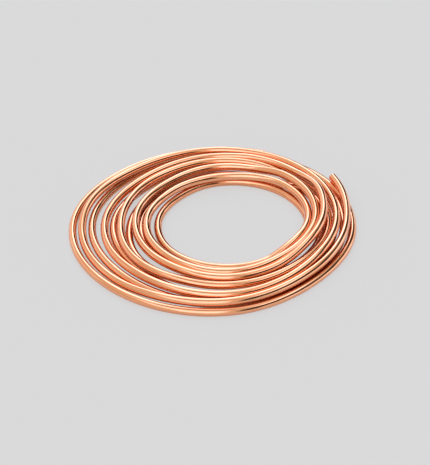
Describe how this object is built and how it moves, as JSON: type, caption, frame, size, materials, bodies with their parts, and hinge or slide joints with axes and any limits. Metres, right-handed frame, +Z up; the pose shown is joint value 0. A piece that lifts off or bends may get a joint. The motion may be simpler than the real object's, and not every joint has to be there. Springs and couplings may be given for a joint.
{
  "type": "copper tube coil",
  "caption": "Loose coil of bright soft copper tube with open ends, lying flat, its turns crossing and overlapping round an open eye.",
  "frame": {"origin": "on the floor, in the middle of the footprint that the coil lies on", "axes": "+Z up, through the coil's eye and along its shortest extent; +X towards the side where the turns lie closest together; +Y away from the side that faces the viewer"},
  "size_m": [0.3446, 0.3444, 0.0294],
  "materials": {
    "copper": "bright drawn copper, smooth and reflective with faint lengthwise drawing marks"
  },
  "bodies": {
    "root": {"copper_tube": "copper"}
  },
  "joints": []
}
